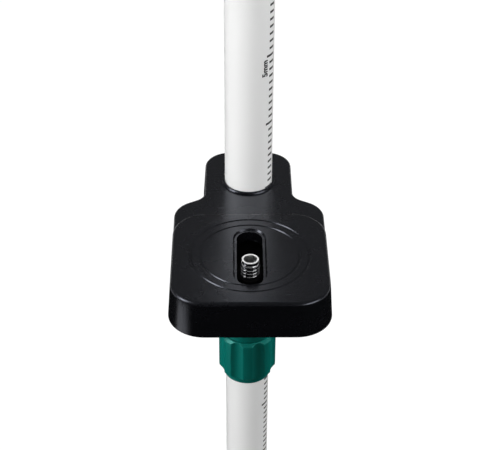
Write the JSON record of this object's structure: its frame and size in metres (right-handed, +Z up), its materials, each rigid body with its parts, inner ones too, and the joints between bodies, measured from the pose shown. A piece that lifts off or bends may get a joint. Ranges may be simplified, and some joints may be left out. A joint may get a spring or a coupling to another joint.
{
  "type": "laser pole",
  "caption": "Telescopic floor-to-ceiling pole with a graduated tube, twist-lock collars and a sliding, swivelling platform whose stud holds a laser level.",
  "frame": {"origin": "centre of the floor pad's underside, on the pole's axis", "axes": "+Z up along the pole, -Y towards the front of the platform"},
  "size_m": [0.102, 0.1811, 1.1112],
  "materials": {
    "white_paint": "smooth white enamel on aluminium tube",
    "black_plastic": "satin black moulding",
    "green_plastic": "semi-gloss green moulding",
    "nylon": "natural nylon",
    "chrome_steel": "bright plated steel",
    "steel": "zinc plated steel",
    "rubber": "matt black rubber"
  },
  "bodies": {
    "pole": {"foot_pad": "rubber", "foot_body": "black_plastic", "foot_screws": "steel", "lower_tube": "white_paint", "lower_lock_sleeve": "black_plastic"},
    "lower_lock_collet": {"lower_lock_collet": "nylon"},
    "lower_lock_nut": {"lower_lock_nut": "green_plastic"},
    "middle_stage": {"middle_tube": "white_paint", "middle_guide_bush": "nylon", "middle_lock_sleeve": "black_plastic"},
    "middle_lock_collet": {"middle_lock_collet": "nylon"},
    "middle_lock_nut": {"middle_lock_nut": "green_plastic"},
    "upper_stage": {"upper_tube": "white_paint", "upper_guide_bush": "nylon", "head_body": "black_plastic", "head_cap": "green_plastic", "plunger_spring": "steel"},
    "plunger": {"plunger_rod": "steel", "plunger_ring": "nylon", "ceiling_plate": "black_plastic", "ceiling_pad": "rubber"},
    "platform_liner": {"upper_liner": "nylon", "lower_liner": "nylon"},
    "platform": {"platform_body": "black_plastic", "hub_sleeve": "black_plastic", "hub_screws": "steel", "clamp_sleeve": "green_plastic", "slider_keeper": "steel", "keeper_screws": "steel"},
    "clamp_collet": {"clamp_collet": "nylon"},
    "clamp_nut": {"clamp_nut": "green_plastic"},
    "stud_slider": {"stud_slider": "black_plastic", "stud_washer": "steel"},
    "stud": {"mount_stud": "chrome_steel", "stud_knob": "black_plastic", "knob_screw": "steel"}
  },
  "joints": [
    {"name": "platform_lift", "type": "slide", "parent": "pole", "child": "platform_liner", "axis": [0, 0, 1], "range_m": [-0.19, 0.365]},
    {"name": "platform_swing", "type": "hinge", "parent": "platform_liner", "child": "platform", "pos_m": [0, 0, 0.43], "axis": [0, 0, 1], "continuous": true},
    {"name": "clamp_collet_shift", "type": "slide", "parent": "platform", "child": "clamp_collet", "axis": [0, 0, 1], "range_m": [-0.0015, 0]},
    {"name": "clamp_nut_turn", "type": "hinge", "parent": "clamp_collet", "child": "clamp_nut", "pos_m": [0, 0, 0.28], "axis": [0, 0, 1], "range_deg": [-270, 0]},
    {"name": "stud_shift", "type": "slide", "parent": "platform", "child": "stud_slider", "axis": [0, 1, 0], "range_m": [0, 0.036]},
    {"name": "stud_turn", "type": "hinge", "parent": "stud_slider", "child": "stud", "pos_m": [0, -0.106, 0.43], "axis": [0, 0, 1], "continuous": true},
    {"name": "middle_stage_slide", "type": "slide", "parent": "pole", "child": "middle_stage", "axis": [0, 0, 1], "range_m": [0, 0.716]},
    {"name": "lower_collet_shift", "type": "slide", "parent": "pole", "child": "lower_lock_collet", "axis": [0, 0, 1], "range_m": [0, 0.0015]},
    {"name": "lower_lock_turn", "type": "hinge", "parent": "lower_lock_collet", "child": "lower_lock_nut", "pos_m": [0, 0, 0.854], "axis": [0, 0, 1], "range_deg": [0, 270]},
    {"name": "upper_stage_slide", "type": "slide", "parent": "middle_stage", "child": "upper_stage", "axis": [0, 0, 1], "range_m": [0, 0.789]},
    {"name": "middle_collet_shift", "type": "slide", "parent": "middle_stage", "child": "middle_lock_collet", "axis": [0, 0, 1], "range_m": [0, 0.0015]},
    {"name": "middle_lock_turn", "type": "hinge", "parent": "middle_lock_collet", "child": "middle_lock_nut", "pos_m": [0, 0, 0.9291], "axis": [0, 0, 1], "range_deg": [0, 270]},
    {"name": "plunger_press", "type": "slide", "parent": "upper_stage", "child": "plunger", "axis": [0, 0, 1], "range_m": [-0.03, 0], "stiffness_N_per_m": 1500, "springref_m": 0.012, "deforming": ["plunger_spring"]}
  ],
  "couplings": [
    {"joint": "clamp_collet_shift", "follows": "clamp_nut_turn", "m_per_rad": 0.00031831},
    {"joint": "lower_collet_shift", "follows": "lower_lock_turn", "m_per_rad": 0.00031831},
    {"joint": "middle_collet_shift", "follows": "middle_lock_turn", "m_per_rad": 0.00031831}
  ]
}
